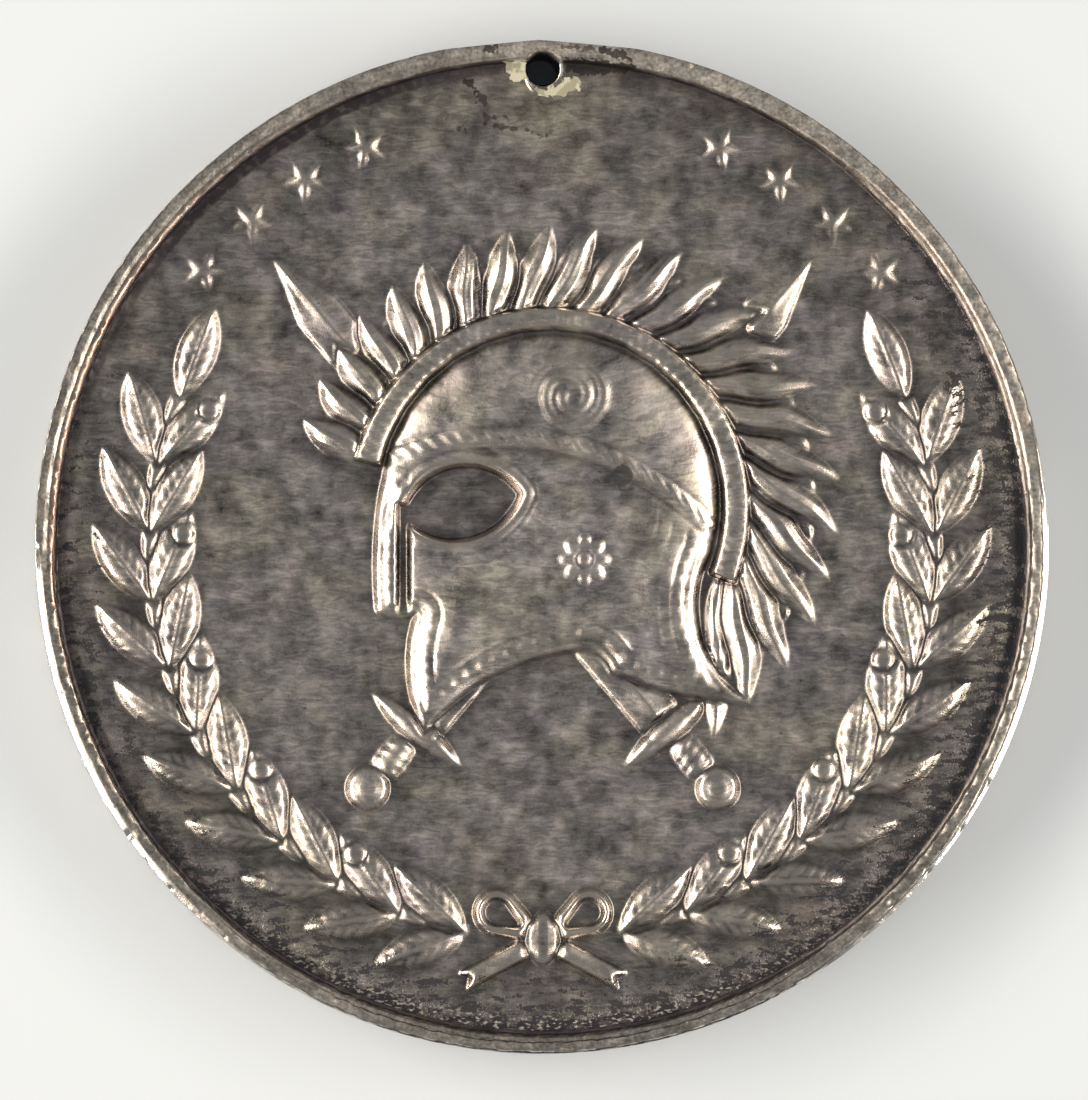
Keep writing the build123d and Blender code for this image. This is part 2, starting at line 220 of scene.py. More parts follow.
SCRATCHES = [
    # from, to, width, depth, which is negative for what stands proud
    ((873, 697), (886, 715), 0.05, 0.02),
    ((914, 354), (926, 357), 0.08, -0.04),
    ((556, 126), (573, 123), 0.05, 0.02),
    ((284, 278), (312, 320), 0.05, 0.015),
    ((882, 671), (884, 674), 0.07, -0.05),
    ((696, 700), (730, 716), 0.05, 0.015),
]
DINGS = [
    # pixel x, pixel y, size, depth, and the direction and stretch of those that aren't round
    (693, 65, 0.12, 0.07),
    (130, 834, 0.18, 0.10, 50, 1.8),
    (145, 860, 0.09, 0.06),
    (172, 886, 0.07, 0.05),
    (225, 935, 0.08, 0.05),
    (852, 758, 0.16, 0.06, 0, 1.2),
    (890, 900, 0.12, 0.08, 45, 1.6),
    (925, 868, 0.10, 0.07, 45, 1.5),
    (958, 826, 0.10, 0.07, 50, 1.5),
    (985, 780, 0.10, 0.06, 60, 1.4),
    (1025, 491, 0.05, -0.05, 0, 2.0),
    (36.3, 545.7, 0.10, 0.07),
    (566, 1046, 0.12, 0.07, 0, 2.0),
    (205, 498, 0.12, 0.05),
    (330, 936, 0.12, 0.04, 70, 2.0),
]

# The numbers that are painted on the mesh for the finish
MARKS = RIM_TONE_NAMES + ["sunk", "proud", "raised_sheen", "halo_shade", "crusty", "hole_highlight", "warm", "bore_shade"]
MARKS += ["from_" + name for name in PATCHES]

cell = 0.03
front_count, back_count = ((600, 300))
most_triangles = 185_000
line = np.arange(-medal_radius - 0.5, medal_radius + 0.5, cell)
across, up = np.meshgrid(line, line)
from_middle = np.hypot(across, up)
bearing = np.degrees(np.arctan2(up, across))
relief = np.zeros_like(across)


def polar(radius, degrees):
    """The point at that radius and angle round the medal's middle."""
    return (radius * math.cos(math.radians(degrees)), radius * math.sin(math.radians(degrees)))


def ahead(start, distance, degrees):
    """The point at that distance from the start, in that direction."""
    step = polar(distance, degrees)
    return (start[0] + step[0], start[1] + step[1])


def in_photo(pixel_x, pixel_y):
    """The point of the medal that the photograph shows at that pixel."""
    return ((pixel_x - middle_x) / pixels_per_mm, (middle_y - pixel_y) / pixels_per_mm)


def blurred(field, spread, stretch=1.0):
    """A field of the grid under a Gaussian blur of that spread, in millimetres, stretched along X."""
    rows = np.fft.fftfreq(field.shape[0], cell)[:, None]
    cols = np.fft.rfftfreq(field.shape[1], cell)[None, :] * stretch
    keep = np.exp(-2 * (math.pi * spread) ** 2 * (rows**2 + cols**2))
    return np.fft.irfft2(np.fft.rfft2(field) * keep, field.shape)


def clouds(spread, stretch=1.0):
    """Smooth random lumps of about that size, with a mean of 0 and a standard deviation of 1."""
    lumps = blurred(rng.standard_normal(relief.shape), spread, stretch)
    return (lumps - lumps.mean()) / lumps.std()


def eased(value, low, high):
    """How far a value has come from low to high, from 0 to 1, with soft ends."""
    share = np.clip((value - low) / (high - low), 0, 1)
    return share * share * (3 - 2 * share)


def bump(distance, width):
    """1 at a distance of 0, falling off to both sides over that width."""
    return np.exp(-((distance / width) ** 2))


def ripple(distance, spacing, start=0.0):
    """Waves from 0 to 1 that come back after that spacing."""
    return 0.5 + 0.5 * np.cos(math.tau * distance / spacing + start)


def worn(height, top, knee):
    """A height that levels off below its top, as wear leaves it: steep sides and a nearly flat crown."""
    return top * np.tanh(height / knee)


def turned(centre, degrees, size):
    """The grid's cells within that size of a centre, and how far each lies along and across a direction."""
    rows = slice(*np.searchsorted(line, (centre[1] - size, centre[1] + size)))
    cols = slice(*np.searchsorted(line, (centre[0] - size, centre[0] + size)))
    dx, dy = line[None, cols] - centre[0], line[rows, None] - centre[1]
    way = polar(1, degrees)
    return (rows, cols), dx * way[0] + dy * way[1], dy * way[0] - dx * way[1]


def strike(area, height, outside):
    """Raises a form and presses what lies below it or close round it. outside is how far beyond its edge."""
    below = relief[area] * (1 - seam_share * bump(np.maximum(outside, 0), seam_width))
    relief[area] = (below + height + np.sqrt((below - height) ** 2 + foot_softness**2)) / 2


def domed(outside, rise, run):
    """A height that climbs to its rise over a rounded shoulder of that run inside the edge."""
    share = np.clip(-outside / run, 0, 1)
    return rise * np.sqrt(share * (2 - share)) - 3 * np.maximum(outside, 0)


def lens(along, aside, length, width, rise):
    """The height of a pointed, ridged form such as a leaf, and the distance beyond its edge."""
    ridge_radius = ((length / 2) ** 2 + rise**2) / (2 * rise)
    offset = ((length / 2) ** 2 - (width / 2) ** 2) / width
    out = np.abs(aside) + offset
    ball = math.hypot(ridge_radius, offset) ** 2 - along**2 - out**2
    height = np.sqrt(np.maximum(ball, 0)) - (ridge_radius - rise)
    return height, np.hypot(along, out) - math.hypot(length / 2, offset)


def rounded(away, width, rise):
    """A round form's or band's height by the distance to its middle, and the distance beyond its edge."""
    away = np.abs(away)
    radius = ((width / 2) ** 2 + rise**2) / (2 * rise)
    height = np.sqrt(np.maximum(radius**2 - away**2, 0)) + rise - radius
    return height - 4 * np.maximum(away - width / 2, 0), away - width / 2


def capsule(along, aside, first_radius, first_place, last_radius, last_place):
    """The distance beyond the outline that wraps two circles, whose middles lie at those places along."""
    reach = last_place - first_place
    slant = (first_radius - last_radius) / reach
    level = math.sqrt(1 - slant**2)
    side, way = np.abs(aside), along - first_place
    turn = way * level - side * slant
    first = np.hypot(side, way) - first_radius
    last = np.hypot(side, way - reach) - last_radius
    between = side * level + way * slant - first_radius
    return np.where(turn < 0, first, np.where(turn > level * reach, last, between))


def arc(start, via, end, count=16):
    """Points along the arc from the start through via to the end, without the start."""
    start, via, end = (complex(*point) for point in (start, via, end))
    turn = (via - start) / (end - start)
    centre = start + (end - start) * (abs(turn) ** 2 - turn) / (turn.conjugate() - turn)
    sweep = np.angle((end - centre) / (start - centre)) % math.tau
    if np.angle((via - centre) / (start - centre)) % math.tau > sweep:
        sweep -= math.tau
    spots = centre + (start - centre) * np.exp(1j * sweep * np.arange(1, count + 1) / count)
    return [(spot.real, spot.imag) for spot in spots]


def beyond(outline, along, aside):
    """The distance beyond a closed outline, negative inside it, and the nearest place's way round it."""
    nearest = np.full(np.broadcast(along, aside).shape, np.inf)
    inside, place = np.zeros(nearest.shape, bool), np.zeros(nearest.shape)
    way = 0.0
    for (x0, y0), (x1, y1) in zip(outline, outline[1:] + outline[:1]):
        run, climb = x1 - x0, y1 - y0
        length = math.hypot(run, climb)
        if not length:
            continue
        share = np.clip(((along - x0) * run + (aside - y0) * climb) / length**2, 0, 1)
        away = (along - x0 - share * run) ** 2 + (aside - y0 - share * climb) ** 2
        place = np.where(away < nearest, way + share * length, place)
        nearest = np.minimum(nearest, away)
        way += length
        if climb:
            inside ^= ((y0 > aside) != (y1 > aside)) & (along < run * (aside - y0) / climb + x0)
    return np.where(inside, -1, 1) * np.sqrt(nearest), place


def flipped(point, degrees, side):
    """A point and a direction, or their mirror images on the medal's other side if side is -1."""
    return (side * point[0], point[1]), degrees if side > 0 else 180 - degrees


def leaf(stem_angle, direction, side):
    """A laurel leaf on the branch at that angle, with a midrib and side veins that slant towards its tip."""
    vein_spacing, vein_depth, rib_half, rib_depth, rib_rise = 0.44, 0.06, 0.12, 0.06, 0.07
    middle = ahead(polar(branch_radius, stem_angle), leaf_length / 2, direction)
    centre, degrees = flipped(middle, direction, side)
    area, along, aside = turned(centre, degrees + rng.normal(0, 1.5), leaf_length * 0.6)
    height, outside = lens(along, aside, leaf_length, leaf_width, leaf_rise * rng.uniform(0.9, 1.0))
    inner = np.clip(-outside / 0.25, 0, 1)
    rib = bump(np.abs(aside) - rib_half, 0.05) * rib_depth - bump(aside, 0.06) * rib_rise
    vein = ripple(along - np.abs(aside), vein_spacing) ** 3 * vein_depth
    tilt = rng.normal(0, 0.06) * aside
    strike(area, worn(height, 0.4, 0.27) + inner * (tilt - rib - vein * (np.abs(aside) > rib_half)), outside)


def laurel(side):
    """One branch: its stem, pairs of leaves, a leaf at the tip and a berry in every second fork."""
    step = (branch_start_angle - branch_end_angle) / leaf_pairs
    turn = np.where(side > 0, bearing, 180 - bearing) % 360
    height, outside = rounded(from_middle - branch_radius, stem_width, stem_rise)
    past_end = np.maximum(turn - branch_start_angle, branch_end_angle - turn) * math.radians(branch_radius)
    strike(np.s_[:, :], np.where(past_end > 0, -1, height), np.maximum(outside, past_end))
    for pair in reversed(range(leaf_pairs)):
        stem_angle = branch_start_angle - pair * step
        for lean in (leaf_angle, -leaf_angle):
            leaf(stem_angle, stem_angle - 90 + lean, side)
        if pair % 2:
            spot, _ = flipped(polar(branch_radius - leaf_reach / 2, stem_angle - step), 0, side)
            area, along, aside = turned(spot, 0, berry_diameter)
            height, outside = rounded(np.hypot(along, aside), berry_diameter, berry_rise)
            strike(area, worn(height, 0.42, 0.5) - 0.04 * bump(np.hypot(along, aside), 0.06), outside)
    leaf(branch_end_angle, branch_end_angle - 90, side)


def bow():
    """The ribbon's bow: two loops, two notched tails and a knot, with folds that run out from it."""
    knot_place = polar(branch_radius, 270)
    end_radius, half = bow_loop_width / 2, bow_ribbon_width / 2
    end_place, opening_radius = bow_loop_length - end_radius, end_radius - half
    tail_end = [(bow_tail_length, -half), (bow_tail_length - half, 0), (bow_tail_length, half)]
    tail_outline = [(0, -half), *tail_end, (0, half)]
    for side in (1, -1):
        place, direction = flipped(knot_place, bow_tail_angle, side)
        area, along, aside = turned(place, direction, bow_tail_length * 1.2)
        outside, _ = beyond(tail_outline, along, aside)
        fold = 0.05 * np.cos(math.tau * aside / 0.33) + 0.05 * np.sin(along * 2.4)
        strike(area, domed(outside, bow_rise - 0.05, 0.2) + fold * (outside < 0), outside)
        place, direction = flipped(knot_place, bow_loop_angle, side)
        area, along, aside = turned(place, direction, bow_loop_length * 1.2)
        loop = capsule(along, aside, half / 2, 0, end_radius, end_place)
        opening_start = knot_width / 2 + knot_gap
        opening = capsule(along, aside, opening_radius / 4, opening_start, opening_radius, end_place)
        outside = np.maximum(loop, -opening)
        folds = 0.045 * np.cos(np.arctan2(aside, along) * 26) * np.clip(1.6 - along / 1.4, 0, 1)
        strike(area, domed(outside, bow_rise, 0.22) + folds * (outside < 0), outside)
    area, along, aside = turned(knot_place, 90, knot_length)
    height, outside = lens(along, aside, knot_length, knot_width, knot_rise)
    pleats = 0.05 * ripple(aside, 0.3) * (outside < 0)
    strike(area, worn(height, 0.48, 0.36) - pleats, outside)


def star(centre, degrees):
    """A faceted star with one point in that direction."""
    area, along, aside = turned(centre, degrees, star_radius * 1.3)
    sector = math.tau / star_points
    turn = np.abs((np.arctan2(aside, along) + sector / 2) % sector - sector / 2)
    waist_x, waist_y = star_waist_radius * math.cos(sector / 2), star_waist_radius * math.sin(sector / 2)
    edge = star_radius * waist_y / (waist_y * np.cos(turn) + (star_radius - waist_x) * np.sin(turn))
    share = np.hypot(along, aside) / edge
    strike(area, worn(star_rise * (1 - share), 0.27, 0.2), (share - 1) * edge)


def sword_reach(radius, way):
    """How far from the crossing a sword meets that circle: towards its point for way 1, its pommel for -1."""
    slope = math.radians(sword_angle)
    return way * sword_drop * math.sin(slope) + math.sqrt(radius**2 - (sword_drop * math.cos(slope)) ** 2)


def sword(side):
    """One sword: a hollow-ground blade with a midrib, a guard, a bound grip and a pommel."""
    crossing = (0, -sword_drop)
    pommel_place = sword_reach(wreath_inside - pommel_margin - pommel_diameter / 2, -1)
    guard_place = pommel_place - grip_length
    length = sword_reach(field_radius - sword_tip_margin, 1) + guard_place
    guard_middle, direction = flipped(ahead(crossing, -guard_place, sword_angle), sword_angle, side)
    area, along, aside = turned(guard_middle, direction, length * 1.05)
    narrowing = np.clip((length - along) / blade_point_length, 0.001, 1)
    edge = blade_width / 2 * narrowing
    outside = np.maximum(np.abs(aside) - edge, -along)
    edge_rise, share = 0.14, np.clip(1 - np.abs(aside) / edge, 0, 1)
    height = (edge_rise + (blade_rise - edge_rise) * share**1.3) * narrowing**0.5 + 0.07 * bump(aside, 0.09)
    strike(area, height * (outside < 0) - 2 * np.maximum(outside, 0), outside)
    grip_middle = ahead(guard_middle, -grip_length / 2, direction)
    area, along, aside = turned(grip_middle, direction, grip_length)
    height, outside = lens(along, aside, grip_length + 2 * grip_overlap, grip_width, grip_rise)
    binding = 0.07 * ripple(along + 0.35 * aside, 0.36)
    strike(area, worn(height, 0.46, 0.36) - binding * (outside < -0.05), outside)
    area, along, aside = turned(guard_middle, direction + 90, guard_length)
    height, outside = lens(along, aside, guard_length, guard_width, guard_rise)
    strike(area, worn(height, 0.5, 0.4) - 0.06 * bump(np.abs(along) - 0.75, 0.08) * (outside < 0), outside)
    area, along, aside = turned(ahead(guard_middle, -grip_length, direction), 0, pommel_diameter)
    height, outside = rounded(np.hypot(along, aside), pommel_diameter, pommel_rise)
    strike(area, worn(height, 0.56, 0.6) - 0.06 * bump(np.hypot(along, aside) - 0.42, 0.06), outside)


def lock_run(share):
    """The start, end, length and direction of the crest's lock at that share of the way round."""
    angle = crest_start_angle + share * (crest_end_angle - crest_start_angle)
    length = dome_radius * (first_lock_length + share * (last_lock_length - first_lock_length))
    direction = angle - first_lock_lean - share**lean_power * (last_lock_lean - first_lock_lean)
    root = ahead(dome_centre, crest_root * dome_radius, angle)
    return root, ahead(root, length, direction), length, direction


def crest():
    """The crest: a plume of combed locks that sweep back, in a ribbed holder that follows the dome."""
    runs = [lock_run(quarter / 4) for quarter in range(5)]
    tips = [ahead(run[0], plume_share * run[2], run[3]) for run in runs]
    outline = [runs[0][0], tips[0]] + arc(tips[0], tips[1], tips[2]) + arc(tips[2], tips[3], tips[4])
    outline += [runs[4][0]] + arc(runs[4][0], runs[2][0], runs[0][0], 24)
    area, dx, dy = turned(dome_centre, 0, 2.1 * dome_radius)
    outside, _ = beyond(outline, dx + dome_centre[0], dy + dome_centre[1])
    strike(area, domed(outside, plume_rise, 1.3), outside)
    strand_width, strand_depth = 0.27, 0.075
    for lock in reversed(range(lock_count)):
        root, tip, length, direction = lock_run(lock / (lock_count - 1))
        middle = ((root[0] + tip[0]) / 2, (root[1] + tip[1]) / 2)
        area, along, aside = turned(middle, direction + rng.normal(0, 1.5), length * 0.75)
        sway = aside + 0.07 * np.sin(along * 2.1 + rng.uniform(0, math.tau))
        rise = lock_rise * rng.uniform(0.88, 1)
        height, outside = lens(along, sway, length + holder_width, lock_width, rise)
        strands = strand_depth * ripple(sway, strand_width, rng.uniform(0, math.tau))
        strike(area, worn(height, 0.62, 0.5) - strands * np.clip(-outside / 0.2, 0, 1), outside)
    area, dx, dy = turned(dome_centre, 0, 1.3 * dome_radius)
    turn = np.degrees(np.arctan2(dy, dx)) % 360
    turn = np.where(turn > 270, turn - 360, turn)
    past_end = np.maximum(turn - crest_start_angle, crest_end_angle - turn) * math.radians(dome_radius)
    height, outside = rounded(np.hypot(dx, dy) - crest_root * dome_radius, holder_width, holder_rise)
    rib_step = 3.4
    ribs = 0.07 * ripple(turn, rib_step) * (outside < -0.1)
    strike(area, np.where(past_end > 0, -1, worn(height, 0.72, 0.62) - ribs), np.maximum(outside, past_end))


def cap(dx, dy, reach, rise, edge_rise):
    """A shallow ball over the helmet's middle, whose top falls from one rise to the other at that reach."""
    fall = rise - edge_rise
    radius = (reach**2 + fall**2) / (2 * fall)
    return np.sqrt(radius**2 - dx**2 - dy**2) + rise - radius


def spiral(dx, dy, pitch, first_turn, last_turn):
    """A thin ridge that winds out from a middle, 1 along its crest."""
    turn, away = np.arctan2(dy, dx) / math.tau, np.hypot(dx, dy)
    winding = turn + np.round(away / pitch - turn)
    ends = eased(winding, first_turn, first_turn + 0.2), eased(-winding, -last_turn, -last_turn + 0.3)
    return bump(away - pitch * winding, 0.26 * pitch) * ends[0] * ends[1]


def helmet():
    """The helmet: cheeks, a skull that stands proud of them, a raised rim round the eye and a nose slit."""
    area, dx, dy = turned(dome_centre, 0, 1.5 * dome_radius)
    outline, start = [], HELMET_ARCS[-1][2:]
    for via_x, via_y, *end in HELMET_ARCS:
        outline += arc(start, (via_x, via_y), end)
        start = end
    share_x, share_y = dx / dome_radius, dy / dome_radius
    outside, place = (value * dome_radius for value in beyond(outline, share_x, share_y))
    brow = np.array([brow_line[0]] + arc(*brow_line))
    over_brow = (share_y - np.interp(share_x, brow[:, 0], brow[:, 1])) * dome_radius
    skull = eased(over_brow, -0.12, 0.16)
    cheeks = cap(dx, dy, cheek_reach * dome_radius, cheek_middle_rise, cheek_side_rise)
    dome = cap(dx, dy, dome_radius, skull_middle_rise, skull_side_rise)
    notch_x, notch_y = 0.38, -0.62
    valley = bump(share_x - notch_x - 0.25 * (share_y - notch_y), 0.16) * eased(-share_y, 0.15, 0.6)
    shoulder = np.clip(-outside / np.where(skull > 0.5, skull_run, cheek_run), 0, 1)
    height = (cheeks + (dome - cheeks) * skull - 0.14 * valley) * np.sqrt(shoulder * (2 - shoulder))

    # A twisted band over the brow, a scroll on the skull and a beaded border along the lower edges
    band = eased(over_brow, 0.06, 0.16) * eased(-over_brow, -0.6, -0.5)
    twist = ripple(dx + 0.9 * over_brow, 0.5)
    height += (band * (0.07 - 0.1 * twist) - 0.07 * bump(over_brow - 0.68, 0.07)
               - 0.05 * bump(over_brow + 0.26, 0.1))
    scroll_x, scroll_y = 0.12, 0.64
    scroll = spiral(dx - scroll_x * dome_radius, dy - scroll_y * dome_radius, 0.6, 0.3, 2.6)
    height += 0.13 * scroll * skull
    low = 1 - eased(over_brow, -0.9, -0.4)
    border = bump(outside + 0.62, 0.16) * low
    height += border * (0.09 * ripple(place, 0.5) - 0.01)
    height -= 0.07 * (bump(outside + 0.34, 0.07) + bump(outside + 0.92, 0.07)) * low
    for (x0, y0), (x1, y1), swell_rise, swell_width in CHEEK_SWELLS:
        run, climb = x1 - x0, y1 - y0
        along = np.clip(((share_x - x0) * run + (share_y - y0) * climb) / (run**2 + climb**2), 0, 1)
        away = np.hypot(share_x - x0 - along * run, share_y - y0 - along * climb)
        height += swell_rise * bump(away, swell_width)
    rosette_x, rosette_y, petal_count, petal_reach = 0.2, -0.3, 8, 1.0
    petal_x, petal_y = dx - rosette_x * dome_radius, dy - rosette_y * dome_radius
    petal_turn, petal_away = np.arctan2(petal_y, petal_x), np.hypot(petal_x, petal_y)
    petal_wave = np.abs(np.cos(petal_count / 2 * petal_turn))
    petal_edge = petal_reach * (0.72 + 0.28 * petal_wave)
    petals = eased(petal_edge - petal_away, 0, 0.3) * (0.75 + 0.25 * petal_wave)
    height += 0.17 * petals - 0.1 * bump(petal_away - 0.3, 0.07) + 0.06 * bump(petal_away, 0.15)
    lames = (bump(outside + 1.5, 0.07) + bump(outside + 2.0, 0.07)) * eased(share_x, 0.52, 0.66) * low
    height -= 0.05 * lames

    eye_outline = arc(eye_front, eye_top, eye_back) + arc(eye_back, eye_bottom, eye_front)
    from_eye, _ = beyond(eye_outline, share_x, share_y)
    from_eye *= dome_radius
    height += 0.13 * bump(from_eye - 0.2, 0.15) - 0.05 * bump(from_eye - 0.5, 0.09)
    slit_middle, slit_half = (slit_left + slit_right) / 2, (slit_right - slit_left) / 2
    from_ends = np.maximum(slit_foot - share_y, share_y - slit_top)
    from_slit = np.maximum(np.abs(share_x - slit_middle) - slit_half, from_ends)
    opening = eased(-np.minimum(from_eye, from_slit * dome_radius), -0.03, 0.1)
    height = height * (1 - opening) + eye_floor_rise * opening
    strike(area, np.where(outside < 0, height, -3 * outside), outside)


def dent(place, size, depth, degrees=0, stretch=1.0):
    """A ding or a pit at that place, longer by stretch in that direction. A negative depth is a burr."""
    area, along, aside = turned(place, degrees, 3 * size * stretch)
    relief[area] -= depth * bump(np.hypot(along / stretch, aside), size)


def wear():
    """Softens the strike and rubs down what stands proud of its surroundings."""
    soft = blurred(relief, strike_blur)
    proud = soft - blurred(soft, wear_reach)
    relief[:] = soft - wear_share * np.maximum(proud, 0)


def hole_burr():
    """What the drill threw up: a lip round the hole, a curl of metal below it and a scraped flat."""
    area, dx, dy = turned(hole_centre, 0, 2.2)
    away, turn = np.hypot(dx, dy), np.degrees(np.arctan2(dy, dx))
    lip = 0.05 * bump(away - hole_radius - 0.05, 0.05) * (0.6 + 0.4 * np.cos(np.radians(turn - 20)))
    curl_radius = hole_radius + 0.04 + 0.21 * eased(turn, -165, -105)
    curl = 0.08 * bump(away - curl_radius, 0.045) * eased(-turn, 25, 60) * eased(turn, -178, -150)
    flat = -0.03 * eased(-away, -1.5, -0.9) * eased(-dy, 0.1, 0.5)
    relief[area] += lip + curl + flat - 0.1 * bump(away - hole_radius, 0.04)


def scratch(start, end, width, depth):
    """A scratch between two points."""
    run, climb = end[0] - start[0], end[1] - start[1]
    middle, half = ((start[0] + end[0]) / 2, (start[1] + end[1]) / 2), math.hypot(run, climb) / 2
    area, along, aside = turned(middle, math.degrees(math.atan2(climb, run)), half + 4 * width)
    relief[area] -= depth * bump(np.hypot(np.maximum(np.abs(along) - half, 0), aside), width)


def damage():
    """The dings, nicks and pits that the photograph shows, and small random ones along the rim."""
    for x, y, *ding in DINGS:
        dent(in_photo(x, y), *ding)
    for start, end, width, depth in SCRATCHES:
        scratch(in_photo(*start), in_photo(*end), width, depth)
    for _ in range(30):
        start = polar(rng.uniform(0, 0.9 * field_radius), rng.uniform(0, 360))
        end = ahead(start, rng.uniform(0.3, 1.6), rng.normal(20, 40))
        scratch(start, end, 0.035, rng.uniform(0.006, 0.014))
    for _ in range(90):
        from_edge = rng.choice([0.25, 0.34, 0.54], p=[0.35, 0.15, 0.5])
        place = polar(medal_radius - from_edge, rng.uniform(-75, 250))
        dent(place, rng.uniform(0.03, 0.07), rng.uniform(0.01, 0.035))
    for _ in range(60):
        place = polar(rng.uniform(0, field_radius), rng.uniform(0, 360))
        dent(place, rng.uniform(0.04, 0.1), rng.uniform(0.008, 0.03))


def crusted(radius, degrees):
    """How much crust lies there: inside the rim on the right, at the bottom and, less, low on the left."""
    reach, rim_gap = 2.6, 0.06
    sides = (-20, 1.0, 0.35, 0.9), (-95, 0.9, 0.45, 0.85), (205, 0.45, 0.6, 0.95)
    near_rim = np.clip((radius - field_radius + reach) / 2.5, 0, 1) ** 2 * (radius < field_radius - rim_gap)
    right, bottom, left = (
        strength * eased(np.cos(np.radians(degrees - angle)), low, high)
        for angle, strength, low, high in sides)
    return near_rim * np.maximum(np.maximum(right, bottom), left)


def rim_height(radius, degrees):
    """The rim's height above the front field, from the profile of the stretch that lies in that direction."""
    past_top = (degrees - 90) % 360
    blend, past_all = 4, 400
    starts = [start for start, _, _ in RIM_STRETCHES] + [past_all]
    height = np.zeros_like(radius)
    for end, (start, distances, rises) in zip(starts[1:], RIM_STRETCHES):
        share = eased(past_top, start - blend, start + blend) - eased(past_top, end - blend, end + blend)
        height += share * np.interp(medal_radius - radius, distances, rises)
    return height


def sampled(field, x, y):
    """A field of the grid, read off at points between its cells."""
    col, row = (np.clip((place - line[0]) / cell, 0, len(line) - 1.001) for place in (x, y))
    c, r = col.astype(int), row.astype(int)
    fx, fy = col - c, row - r
    lower = field[r, c] * (1 - fx) + field[r, c + 1] * fx
    upper = field[r + 1, c] * (1 - fx) + field[r + 1, c + 1] * fx
    return lower * (1 - fy) + upper * fy


def front_height(x, y):
    """How high the front face stands at those points, above the back rim's flat."""
    rim = rim_height(np.hypot(x, y) + sampled(wobble, x, y), np.degrees(np.arctan2(y, x)))
    return field_z + rim + sampled(relief, x, y)


def outer_radius(degrees):
    """The medal's own edge, filed flat on both sides of the hole."""
    filed_depth, near = 0.085, 0.9
    radius = np.full_like(degrees, medal_radius)
    for angle in (96.0, 85.0):
        slant = np.cos(np.radians(degrees - angle))
        flat = (medal_radius - filed_depth) / np.maximum(slant, near)
        radius = np.where(slant > near, np.minimum(radius, flat), radius)
    return radius


def band(edge, ring):
    """The four-sided faces between two rings of as many points."""
    return np.stack([edge, ring, np.roll(ring, -1), np.roll(edge, -1)], -1)


def disc_sheet(count, grid_radius, ring_radii):
    """A flat disc: a square grid pushed out round, then rings. Gives its points, faces and edge."""
    side = np.linspace(-1, 1, count + 1)
    a, b = np.meshgrid(side, side)
    wide = np.abs(a) > np.abs(b)
    longer, shorter = np.where(wide, a, b), np.where(wide, b, a)
    turn = math.pi / 4 * np.divide(shorter, longer, out=np.zeros_like(a), where=longer != 0)
    turn = np.where(wide, turn, math.pi / 2 - turn)
    points = [np.stack([longer * np.cos(turn), longer * np.sin(turn)], -1).reshape(-1, 2) * grid_radius]
    index = np.arange((count + 1) ** 2).reshape(count + 1, count + 1)
    faces = [np.stack([index[:-1, :-1], index[:-1, 1:], index[1:, 1:], index[1:, :-1]], -1).reshape(-1, 4)]
    edge = np.concatenate([index[0, :-1], index[:-1, -1], index[-1, :0:-1], index[:0:-1, 0]])
    total = len(points[0])
    ways = points[0][edge] / grid_radius
    for radius in ring_radii:
        ring = total + np.arange(len(edge))
        points.append(ways * radius)
        faces.append(band(edge, ring))
        total, edge = total + len(ring), ring
    return np.concatenate(points), np.concatenate(faces), edge


def worked_disc(count, grid_radius, ring_radii):
    """A disc, filed and with the hole in it. Gives points, unfiled radii, faces, its edge and the hole's."""
    points, faces, edge = disc_sheet(count, grid_radius, ring_radii)
    radius = np.hypot(*points.T)
    filed = outer_radius(np.degrees(np.arctan2(points[:, 1], points[:, 0])))
    pull = np.clip((radius - field_radius) / rim_width, 0, 1)
    points *= (1 - pull * (1 - filed / medal_radius))[:, None]
    centre = np.array(hole_centre)
    inside = np.hypot(*(points[faces].mean(1) - centre).T) < hole_radius
    hole_edge = np.intersect1d(faces[inside], faces[~inside])
    spokes = points[hole_edge] - centre
    points[hole_edge] = centre + spokes * (hole_radius / np.hypot(*spokes.T))[:, None]
    return points, radius, faces[~inside], edge, hole_edge[np.argsort(np.arctan2(spokes[:, 1], spokes[:, 0]))]


class Shell:
    """The points and faces of a mesh while it is put together."""

    def __init__(self):
        self.points, self.faces = np.zeros((0, 3)), []

    def add(self, x, y, z):
        """Adds points and gives their numbers."""
        added = np.column_stack([x, y, np.broadcast_to(z, x.shape)])
        self.points = np.concatenate([self.points, added])
        return np.arange(len(self.points) - len(added), len(self.points))

    def ring(self, edge, z):
        """Adds a ring of points at that height over or under an edge, joined to it by four-sided faces."""
        ring = self.add(*self.points[edge, :2].T, z)
        self.faces += band(edge, ring).tolist()
        return ring

    def by_turn(self, ring, centre):
        """A ring's numbers in order of the turn round a centre, and those turns, once round and closed."""
        x, y = (self.points[ring, :2] - centre).T
        turns = np.arctan2(y, x)
        order = np.argsort(turns)
        return ring[order], np.append(turns[order], turns[order[0]] + math.tau)

    def zip(self, upper, lower, centre):
        """Joins two rings round a centre that have unlike numbers of points."""
        upper, upper_turns = self.by_turn(upper, centre)
        lower, lower_turns = self.by_turn(lower, centre)
        i = j = 0
        n, m = len(upper), len(lower)
        while i < n or j < m:
            if j == m or (i < n and upper_turns[i + 1] <= lower_turns[j + 1]):
                self.faces.append([upper[i % n], lower[j % m], upper[(i + 1) % n]])
                i += 1
            else:
                self.faces.append([upper[i % n], lower[j % m], lower[(j + 1) % m]])
                j += 1


